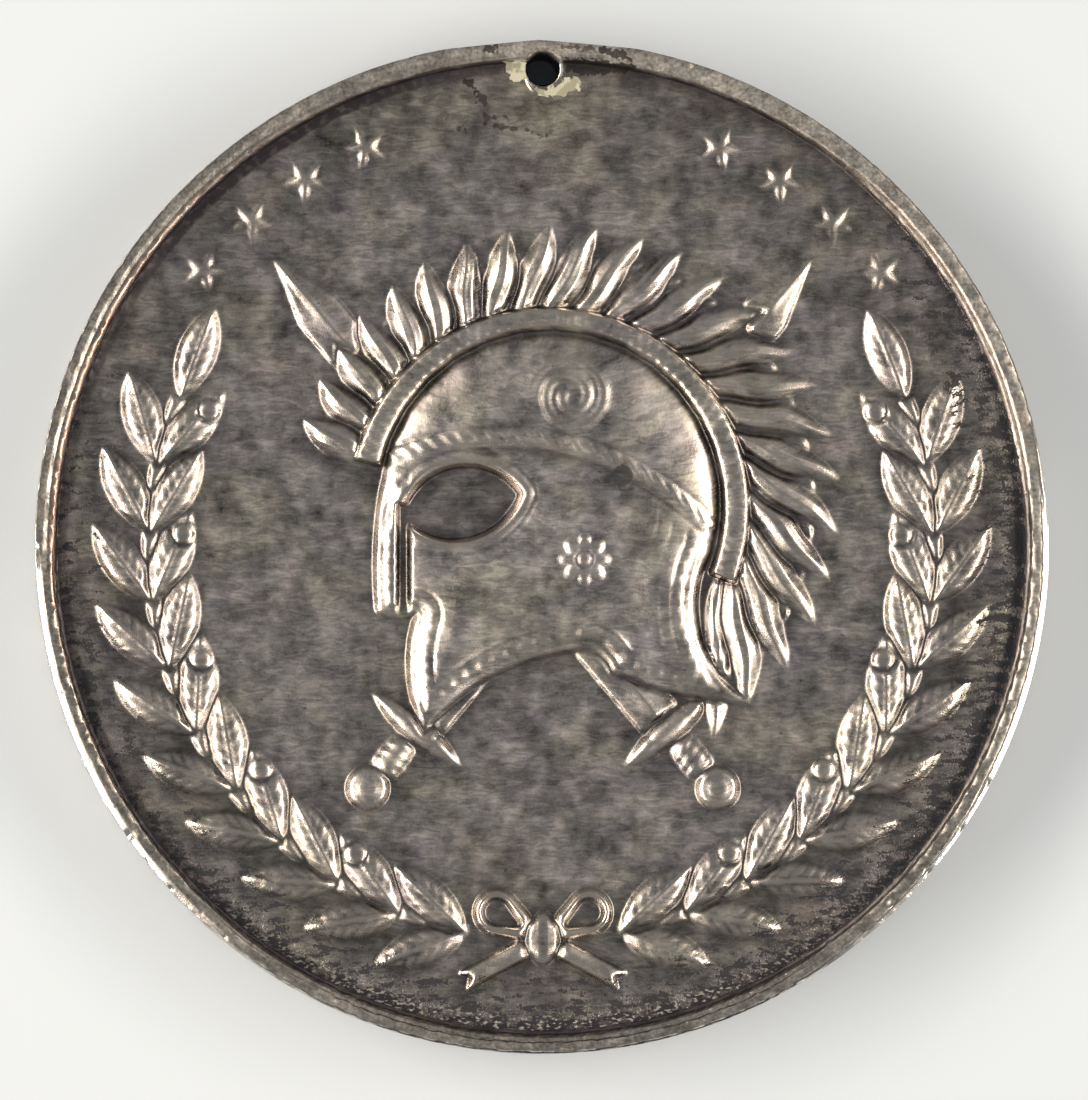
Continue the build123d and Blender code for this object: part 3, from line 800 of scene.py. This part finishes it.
def back_height(radius):
    """How high the back stands: a plain rounded rim round a plain recessed field, as on the solid."""
    round_off = np.clip(radius - medal_radius + edge_rounding, 0, edge_rounding)
    slope = np.interp(radius, (field_radius, field_radius + rim_wall_run), (back_recess, 0))
    return slope + (edge_rounding - np.sqrt(edge_rounding**2 - round_off**2))


def dense_shell():
    """The whole medal as one closed dense mesh, in millimetres."""
    shell = Shell()
    front_grid_radius, back_grid_radius, ring_step = field_radius - 0.1, field_radius - 0.12, 0.025
    edge_steps = np.array([0.12, 0.09, 0.06, 0.04, 0.02, 0.008, 0.0])
    crease_drop, wall_levels, hole_levels = 0.015, (field_z, field_z - 0.1, 2.0, 1.6), (0.02, 0.08, 0.5)
    rings = np.arange(front_grid_radius, medal_radius - edge_steps[0], ring_step)[1:]
    rings = np.concatenate([rings, medal_radius - edge_steps])
    flat, _, faces, wall, hole_wall = worked_disc(front_count, front_grid_radius, rings)
    shell.add(*flat.T, front_height(*flat.T))
    shell.faces += faces.tolist()
    for level in (shell.points[wall, 2] - crease_drop, *wall_levels):
        wall = shell.ring(wall, level)

    shoulder = np.radians([0, 18, 36, 54, 72, 90])
    rings = [field_radius, field_radius + rim_wall_run]
    rings += [medal_radius - edge_rounding + edge_rounding * math.sin(a) for a in shoulder]
    flat, radius, faces, edge, hole_edge = worked_disc(back_count, back_grid_radius, rings)
    first = shell.add(*flat.T, back_height(radius))[0]
    shell.faces += (faces[:, ::-1] + first).tolist()
    shell.zip(wall, edge + first, (0, 0))

    hole_wall = hole_wall[::-1]
    levels = shell.points[hole_wall, 2]
    for share in hole_levels:
        hole_wall = shell.ring(hole_wall, levels + share * (back_recess - levels))
    shell.zip(hole_edge + first, hole_wall, hole_centre)
    return shell


def from_hole(x, y):
    """The distance from the hole's middle."""
    return np.hypot(x - hole_centre[0], y - hole_centre[1])


def free_to_thin(points):
    """Which points may be thinned out: not those round the hole and on the narrow outer bevels."""
    burr_reach, burr_low = 2.6, 2.0
    x, y, z = points.T
    past_top = (np.degrees(np.arctan2(y, x)) - 90) % 360
    bevelled = np.any([(past_top > start) & (past_top < end) for start, end in BEVEL_STRETCHES], axis=0)
    on_bevel = bevelled & (np.hypot(x, y) > medal_radius - bevel_width) & (z > field_z + 0.05)
    return ~(on_bevel | (from_hole(x, y) < burr_reach) & (z > burr_low))


def made_mesh(name, points, faces):
    """A smooth-shaded mesh without its unused points."""
    used = np.zeros(len(points), bool)
    used[[corner for face in faces for corner in face]] = True
    number = (np.cumsum(used) - 1).tolist()
    mesh = bpy.data.meshes.new(name)
    mesh.from_pydata(points[used], [], [[number[corner] for corner in face] for face in faces])
    mesh.shade_smooth()
    return mesh


def points_of(mesh):
    """The places of a mesh's points, a row each."""
    places = np.zeros(len(mesh.vertices) * 3)
    mesh.vertices.foreach_get("co", places)
    return places.reshape(-1, 3)


def placed(name, data):
    """A new object in the scene."""
    piece = bpy.data.objects.new(name, data)
    bpy.context.scene.collection.objects.link(piece)
    return piece


def modified(piece, name):
    """The mesh that a piece's modifiers make of it, which are then cleared."""
    graph = bpy.context.evaluated_depsgraph_get()
    mesh = bpy.data.meshes.new_from_object(piece.evaluated_get(graph))
    piece.modifiers.clear()
    mesh.name = name
    return mesh


def medal_piece():
    """The medal's visible mesh: dense, then thinned out, with the dense mesh's own smoothness of shading."""
    shell = dense_shell()
    dense = placed("dense", made_mesh("dense", shell.points, shell.faces))
    free = dense.vertex_groups.new(name="free")
    free.add(np.flatnonzero(free_to_thin(points_of(dense.data))).tolist(), 1.0, "REPLACE")
    thin = dense.modifiers.new("thin", "DECIMATE")
    thin.ratio = min(1.0, most_triangles / sum(len(face) - 2 for face in shell.faces))
    thin.vertex_group = free.name
    thin.vertex_group_factor = 1.0
    medal = placed("struck_medal", modified(dense, "thinned"))
    medal.vertex_groups.clear()
    smooth = medal.modifiers.new("smooth", "DATA_TRANSFER")
    smooth.object = dense
    smooth.use_loop_data = True
    smooth.data_types_loops = {"CUSTOM_NORMAL"}
    smooth.loop_mapping = "POLYINTERP_NEAREST"
    thinned, medal.data = medal.data, modified(medal, "struck_medal")
    bpy.data.meshes.remove(thinned)
    bpy.data.objects.remove(dense)
    return medal


def keep_inside(mesh):
    """Moves points that thinning left a hair outside the solid's box back into it."""
    hair = 1e-5
    points = np.clip(points_of(mesh), np.array(medal_low) + hair, np.array(medal_high) - hair)
    mesh.vertices.foreach_set("co", points.ravel())


def from_patches(patches):
    """How far each cell lies beyond the nearest patch, up to the distance that counts as far."""
    nearest = np.full_like(relief, far_from_patch)
    for corners in patches:
        outline = [in_photo(*corner) for corner in corners]
        low, high = np.min(outline, 0), np.max(outline, 0)
        centre = (low + high) / 2
        area, dx, dy = turned(centre, 0, np.max(high - low) / 2 + far_from_patch + 0.05)
        away, _ = beyond(outline, dx + centre[0], dy + centre[1])
        nearest[area] = np.minimum(nearest[area], away)
    return np.maximum(nearest, -far_from_patch)


def painted(mesh):
    """Writes what the finish needs to the mesh's points: how sunk (for painted shade), worn or crusted each
    is, for example, and where painted sheen and highlights go.
    """
    front_low = 2.2
    x, y, z = points_of(mesh).T
    total = relief + rim_height(from_middle, bearing)
    total[from_middle > medal_radius - 0.05] = 0.2
    lower_than, finer = (blurred(total, spread) - total for spread in (0.32, 0.1))
    # painted shade in hollows: the lower a point lies than its surroundings, the darker it is drawn
    sunk = np.clip(lower_than / 0.16, 0, 1) * 0.7 + np.clip(finer / 0.03, 0, 1) * 0.5
    raised_sheen = eased(relief, 0.12, 0.4)
    hole_turn = np.arctan2(up - hole_centre[1], across - hole_centre[0])
    lit_right = eased(np.cos(hole_turn - math.radians(5)), 0.75, 0.95)
    lit_left = 0.5 * eased(-np.cos(hole_turn), 0.9, 0.98)
    warm_x, warm_y = in_photo(*WARM_PATCH)
    fields = {
        "sunk": np.clip(sunk, 0, 1),
        "proud": np.clip(-finer / 0.02, 0, 1) * np.clip(-lower_than / 0.05, 0, 1),
        # painted sheen: the relief is drawn lighter than the field
        "raised_sheen": raised_sheen,
        # painted shade on the field round the relief
        "halo_shade": eased(blurred(relief, 0.6), 0.01, 0.2) * (1 - raised_sheen),
        "crusty": crusted(from_middle, bearing),
        # painted highlight on the hole's edge, on the sides that face the lamps
        "hole_highlight": bump(from_hole(across, up) - hole_radius - 0.07, 0.06) * np.maximum(lit_right, lit_left),
        "warm": bump(np.hypot(across - warm_x, (up - warm_y) * 1.6), 2.4),
    }
    fields.update({"from_" + name: from_patches(patches) for name, patches in PATCHES.items()})
    angles, *tones = np.array(RIM_TONES).T
    for name, tone in zip(RIM_TONE_NAMES, tones):
        fields[name] = np.interp((bearing - 90) % 360, angles, tone)
    # painted shade: the hole's bore is drawn near-black blue
    in_hole = (from_hole(x, y) < hole_radius + 0.03) & (z < field_z - 0.02)
    marks = {"bore_shade": in_hole}
    for name, field in fields.items():
        elsewhere = far_from_patch if name.startswith("from_") else 0
        marks[name] = np.where((z > front_low) & ~in_hole, sampled(field, x, y), elsewhere)
    numbers = np.zeros((len(x), len(MARKS) + -len(MARKS) % 3), np.float32)
    for column, name in enumerate(MARKS):
        numbers[:, column] = marks[name]
    for first in range(0, len(MARKS), 3):
        pack = mesh.attributes.new(f"marks_{first // 3}", "FLOAT_VECTOR", "POINT")
        pack.data.foreach_set("vector", numbers[:, first:first + 3].ravel())


class Finish:
    """A material whose nodes are made and joined with one short call each."""

    def __init__(self, name):
        slant_share = 0.7
        self.material = bpy.data.materials.new(name)
        self.material.use_nodes = True
        self.tree = self.material.node_tree
        self.tree.nodes.clear()
        place = self.scaled(self.node("TexCoord", out="Object"), 1 / MM)
        self.x, self.y, z = self.node("SeparateXYZ", {0: place}, out=None)
        ways = [self.math("MULTIPLY_ADD", z, slant_share, way) for way in (self.x, self.y)]
        self.sheet = self.node("CombineXYZ", dict(enumerate(ways)))
        self.packs = {}

    def node(self, kind, inputs=None, out=0, **settings):
        """A node with its settings and inputs set or joined. Gives one output, or all if out is None."""
        node = self.tree.nodes.new("ShaderNode" + kind)
        for name, value in settings.items():
            setattr(node, name, value)
        for name, value in (inputs or {}).items():
            socket = node.inputs[name]
            if isinstance(value, bpy.types.NodeSocket):
                self.tree.links.new(value, socket)
            else:
                socket.default_value = (*value, 1.0) if socket.type == "RGBA" else value
        return node.outputs if out is None else node.outputs[out]

    def finished(self, inputs):
        """The material, with a surface of these inputs."""
        self.node("OutputMaterial", {"Surface": self.node("BsdfPrincipled", inputs)}, out=None)
        return self.material

    def math(self, operation, first, second=0.0, third=0.0, clamp=False):
        """What an operation makes of two numbers or three."""
        return self.node("Math", {0: first, 1: second, 2: third}, operation=operation, use_clamp=clamp)

    def times(self, first, second):
        """The product of two numbers."""
        return self.math("MULTIPLY", first, second)

    def scaled(self, vector, factor):
        """A place or a colour times a number."""
        return self.node("VectorMath", {0: vector, "Scale": factor}, operation="SCALE")

    def sum(self, *terms):
        """The sum of some numbers, each times its own factor."""
        total = 0.0
        for number, factor in terms:
            total = self.math("MULTIPLY_ADD", number, factor, total)
        return total

    def painted(self, name):
        """A number painted on the mesh's points, which hold them in packs of three."""
        pack, channel = divmod(MARKS.index(name), 3)
        if pack not in self.packs:
            three = self.node("Attribute", out="Vector", attribute_name=f"marks_{pack}")
            self.packs[pack] = self.node("SeparateXYZ", {0: three}, out=None)
        return self.packs[pack][channel]

    def noise(self, size, detail, stretch=(1, 1, 1), shift=0.0, distortion=0.0):
        """Random lumps of that size in millimetres, from 0 to 1."""
        place = {0: self.sheet, 1: stretch, 2: (shift, -shift, 0)}
        place = self.node("VectorMath", place, operation="MULTIPLY_ADD")
        inputs = {"Vector": place, "Scale": 1 / size, "Detail": detail, "Distortion": distortion}
        return self.node("TexNoise", inputs, out="Fac", noise_dimensions="2D")

    def between(self, value, low, high, start=0.0, end=1.0):
        """How far a value has come from low to high, from start to end, with soft ends."""
        inputs = {"Value": value, "From Min": low, "From Max": high, "To Min": start, "To Max": end}
        return self.node("MapRange", inputs, interpolation_type="SMOOTHSTEP")

    def mix(self, share, first, second):
        """A blend of two colours."""
        return self.node("Mix", {0: share, 6: first, 7: second}, out=2, data_type="RGBA")

    def coated(self, tone, share, strength, paint):
        """A colour with another over it, as strong as that where the share is 1."""
        return self.mix(self.times(share, strength), tone, paint)


def toned_silver():
    """Silver dark with toning: brown and olive clouds, wisps, specks, crust and bright worn edges, with
    painted shade, sheen and highlights.
    """
    f = Finish("toned_silver")
    flat = f.node("CombineXYZ", {0: f.x, 1: f.y})
    radius = f.node("VectorMath", {0: flat}, out="Value", operation="LENGTH")
    proud, warm, crusty = (f.painted(name) for name in ("proud", "warm", "crusty"))

    clouds_small, mottle = f.noise(1.3, 2, shift=7.7), f.noise(0.45, 2, shift=1.3)
    grain = f.noise(0.09, 1, shift=17.0)
    streaks = f.noise(0.17, 2, stretch=(0.28, 1, 1), shift=5.0, distortion=0.8)
    clouds_wide, patches = f.noise(3.6, 2, shift=12.0), f.noise(2.4, 2, shift=21.0)
    tone = f.mix(f.between(clouds_wide, 0.44, 0.62), (0.595, 0.54, 0.495), (0.62, 0.565, 0.475))
    tone = f.mix(f.between(patches, 0.5, 0.66, 0.0, 0.6), tone, (0.52, 0.455, 0.465))
    tone = f.mix(f.between(patches, 0.44, 0.3, 0.0, 0.5), tone, (0.62, 0.515, 0.465))
    tone = f.coated(tone, warm, 0.7, (0.78, 0.68, 0.52))

    # How light the tone is: random clouds, darker towards the rim, painted sheen on the relief, painted shade
    # round it, and lighter over the warm patch
    lumps = f.noise(0.7, 1, shift=51.0)
    terms = (clouds_small, 1.1), (lumps, 0.8), (mottle, 0.7), (streaks, 0.6), (grain, 0.45)
    light = f.math("SUBTRACT", f.sum(*terms), 0.5 * sum(factor for _, factor in terms) - 1.0)
    light = f.times(light, f.between(radius, 11.0, 17.4, 0.88, 0.6))
    for name, off, on in (("raised_sheen", 0.97, 1.2), ("halo_shade", 1.0, 0.72), ("warm", 1.0, 1.25)):
        light = f.times(light, f.between(f.painted(name), 0.0, 1.0, off, on))
    tone = f.scaled(tone, light)

    specks = f.between(f.noise(0.3, 1, stretch=(0.8, 1.3, 1), shift=33.0), 0.8, 0.87, 0.0, 0.7)
    tone = f.mix(specks, tone, (0.12, 0.105, 0.1))
    # painted shade in the hollows
    tone = f.coated(tone, f.painted("sunk"), 0.6, (0.1, 0.088, 0.085))
    tone = f.coated(tone, proud, 0.7, (0.84, 0.73, 0.62))

    # The rim, with its dark lines, which are dirt and painted shade, and dirt and painted shade along its
    # foot
    uneven = f.between(f.noise(0.45, 1, shift=61.0), 0.25, 0.75, -0.025, 0.025)
    from_edge = f.math("ADD", f.math("SUBTRACT", medal_radius, radius), uneven)
    rim = f.between(from_edge, rim_width, rim_width - 0.1)
    rubbed = f.times(f.painted("rubbed"), rim)
    rim_clouds = f.between(f.noise(0.6, 1, shift=40.0), 0.35, 0.65)
    rim_dark = f.mix(rim_clouds, (0.33, 0.3, 0.26), (0.48, 0.445, 0.385))
    rim_light = f.mix(rim_clouds, (0.62, 0.56, 0.48), (0.78, 0.72, 0.64))
    rim_tone = f.mix(f.painted("rubbed"), rim_dark, rim_light)
    rim_terms = (f.noise(0.12, 1, shift=71.0), 1.1), (f.noise(0.35, 1, shift=74.0), 0.7)
    rim_tone = f.scaled(rim_tone, f.sum(*rim_terms))
    rosy = f.times(f.painted("rosy"), f.between(from_edge, 0.46, 0.52))
    rim_tone = f.coated(rim_tone, rosy, 0.8, (0.5, 0.31, 0.24))
    tone = f.coated(tone, rim, 0.9, rim_tone)
    shine = f.times(f.painted("shine"), f.between(from_edge, 0.21, 0.16))
    tone = f.coated(tone, shine, 0.85, (0.93, 0.88, 0.82))
    # dirt and painted shade along the rim's foot, and dark lines on the rim that are dirt and painted shade
    off_foot = f.math("ABSOLUTE", f.math("SUBTRACT", from_edge, 0.93))
    grime_and_shade = f.times(f.between(off_foot, 0.34, 0.16), f.painted("foot_dirt_and_shade"))
    for name, width in RIM_LINE_WIDTHS.items():
        off_line = f.math("ABSOLUTE", f.math("SUBTRACT", from_edge, f.painted(name)))
        dirt_and_shade_line = f.times(f.between(off_line, 1.3 * width, 0.4 * width), f.painted(name + "_dark"))
        grime_and_shade = f.math("MAXIMUM", grime_and_shade, dirt_and_shade_line)
    grime_and_shade = f.times(grime_and_shade, f.between(f.noise(0.3, 1, shift=81.0), 0.3, 0.5, 0.75, 0.95))
    tone = f.mix(grime_and_shade, tone, (0.05, 0.043, 0.05))

    # Crust along the rim, in wisps and specks, with pale flecks in it
    wisps = f.sum((f.noise(0.3, 2, stretch=(0.4, 1, 1), shift=85.0), 0.7), (grain, 0.3), (crusty, 0.17))
    crust = f.times(f.between(wisps, 0.575, 0.63, 0.0, 0.95), f.between(crusty, 0.0, 0.08))
    tone = f.mix(crust, tone, (0.022, 0.023, 0.028))
    flecked = f.times(f.painted("flecked"), f.between(crusty, 0.45, 0.75))
    flecks = f.between(f.noise(0.11, 1, stretch=(0.5, 1, 1), shift=91.0), 0.54, 0.72)
    tone = f.coated(tone, flecks, flecked, (0.42, 0.39, 0.34))

    # Patches with ragged edges
    ragged = f.math("MULTIPLY_ADD", f.noise(0.25, 2, shift=93.0), 0.45, -0.225)
    scraped, stained, reddish = (
        f.between(f.math("ADD", f.painted("from_" + name), ragged), 0.03, -0.03) for name in PATCHES)
    tone = f.coated(tone, reddish, 0.7, (0.12, 0.08, 0.068))
    tone = f.coated(tone, stained, 0.85, (0.06, 0.052, 0.05))
    tone = f.mix(scraped, tone, f.mix(f.between(mottle, 0.42, 0.58), (0.68, 0.65, 0.49), (0.42, 0.4, 0.29)))
    # painted highlight round the hole
    tone = f.mix(f.painted("hole_highlight"), tone, (0.95, 0.93, 0.85))
    # painted shade inside the hole
    tone = f.mix(f.painted("bore_shade"), tone, (0.02, 0.025, 0.055))
    spot = (*in_photo(*ROUND_STAIN), 0)
    from_spot = f.node("VectorMath", {0: flat, 1: spot}, out="Value", operation="DISTANCE")
    from_spot = f.math("ADD", from_spot, f.between(mottle, 0.3, 0.7, -0.02, 0.02))
    tone = f.mix(f.between(from_spot, 0.42, 0.34, 0.0, 0.85), tone, (0.2, 0.187, 0.18))

    roughness = f.between(clouds_small, 0.3, 0.7, 0.26, 0.36)
    roughness = f.math("ADD", roughness, f.between(streaks, 0.3, 0.7, -0.04, 0.05))
    dull = f.sum((crust, 0.35), (scraped, 0.35), (grime_and_shade, 0.35), (rubbed, 0.25), (shine, -0.3), (proud, -0.1))
    roughness = f.math("MAXIMUM", f.math("ADD", roughness, dull, clamp=True), 0.12)
    metallic = f.math("SUBTRACT", 1.0, f.times(f.math("ADD", scraped, crust, clamp=True), 0.75))
    flakes = f.times(f.noise(0.07, 1, shift=6.0), f.math("MULTIPLY_ADD", crusty, 0.035, 0.003))
    height = f.sum((flakes, 1.0), (f.noise(0.5, 1, shift=15.0), 0.012))
    normal = f.node("Bump", {"Height": height, "Distance": MM, "Strength": 1.0})
    return f.finished({"Base Color": tone, "Metallic": metallic, "Roughness": roughness, "Normal": normal})


def floor():
    """A plain pale floor under the medal."""
    half = 0.6
    corners = [(-half, -half, 0), (half, -half, 0), (half, half, 0), (-half, half, 0)]
    mesh = bpy.data.meshes.new("floor")
    mesh.from_pydata(corners, [], [(0, 1, 2, 3)])
    paper = Finish("pale_paper")
    tone = paper.mix(paper.noise(20.0, 2), (0.8, 0.86, 0.91), (0.83, 0.89, 0.94))
    mesh.materials.append(paper.finished({"Base Color": tone, "Roughness": 0.85}))
    placed("floor", mesh)


def panel(name, azimuth, elevation, distance, width, height, radiance, tint):
    """A soft panel light that faces the medal from that azimuth and elevation, in degrees."""
    light = bpy.data.lights.new(name, "AREA")
    light.shape = "RECTANGLE"
    light.size, light.size_y = width, height
    light.energy = radiance * math.pi * width * height
    light.color = tint
    lamp = placed(name, light)
    level = distance * math.cos(math.radians(elevation))
    lamp.location = (*polar(level, azimuth), distance * math.sin(math.radians(elevation)))
    lamp.rotation_euler = (-lamp.location).to_track_quat("-Z", "Y").to_euler()


def lights():
    """Two big soft panels, left and right, each with a wide dim glow round it, in a dim even room."""
    warm_light, pale_light = (1.0, 0.9, 0.79), (1.0, 0.93, 0.86)
    panel("left_panel", 182, 33, 0.5, 0.6, 0.14, 9.8, warm_light)
    panel("right_panel", -4, 33, 0.5, 0.5, 0.13, 7.3, warm_light)
    panel("left_glow", 180, 42, 0.52, 0.9, 0.4, 0.38, pale_light)
    panel("right_glow", 0, 42, 0.52, 0.9, 0.4, 0.28, pale_light)
    world = bpy.data.worlds.new("room")
    world.use_nodes = True
    background = world.node_tree.nodes["Background"]
    background.inputs["Color"].default_value = (0.95, 0.98, 1.0, 1.0)
    background.inputs["Strength"].default_value = 0.24
    bpy.context.scene.world = world


def camera():
    """The camera, nearly overhead, with the medal where the photograph has it."""
    distance, tilt, tilt_azimuth = 260 * MM, 3.0, 225.0
    # What the slanted look takes off the outline, in pixels
    shift_right, shift_down, growth = 1.5, 0.86, 1.86
    lens_data = bpy.data.cameras.new("camera")
    eye = placed("camera", lens_data)
    aim_x, aim_y = in_photo(photo_width / 2 - shift_right, photo_height / 2 - shift_down)
    aim = Vector((aim_x, aim_y, rim_thickness)) * MM
    aside = polar(distance * math.sin(math.radians(tilt)), tilt_azimuth)
    eye.location = aim + Vector((*aside, distance * math.cos(math.radians(tilt))))
    look = (eye.location - aim).normalized()
    right = Vector((0, 1, 0)).cross(look).normalized()
    eye.rotation_euler = Matrix((right, look.cross(right), look)).transposed().to_euler()
    lens_data.sensor_fit, lens_data.sensor_width = "HORIZONTAL", 36.0
    shown_width = photo_width / pixels_per_mm * MM
    lens_data.lens = lens_data.sensor_width * distance / shown_width * (1 + growth / (edge_right - middle_x))
    lens_data.clip_start, lens_data.clip_end = 0.01, 10.0
    bpy.context.scene.camera = eye


camera()
for side in (1, -1):
    laurel(side)
    for angle in star_angles:
        star(*flipped(polar(field_radius - star_margin, angle), angle, side))
bow()
sword(1)
sword(-1)
crest()
helmet()
wear()
relief += 0.005 * clouds(0.45) + 0.015 * clouds(2.2)
relief += crusted(from_middle, bearing) * 0.012 * clouds(0.07)
hole_burr()
damage()
relief = np.clip(relief, deepest, medal_high.z - field_z - 0.01)
wobble = 0.004 * clouds(0.08) + 0.007 * clouds(0.25)

medal = medal_piece()
painted(medal.data)
keep_inside(medal.data)
medal.data.transform(Matrix.Scale(MM, 4))
medal.data.materials.clear()
medal.data.materials.append(toned_silver())
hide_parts("medal")
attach(medal, "root")

floor()
lights()
bpy.context.scene.view_settings.view_transform = "Standard"
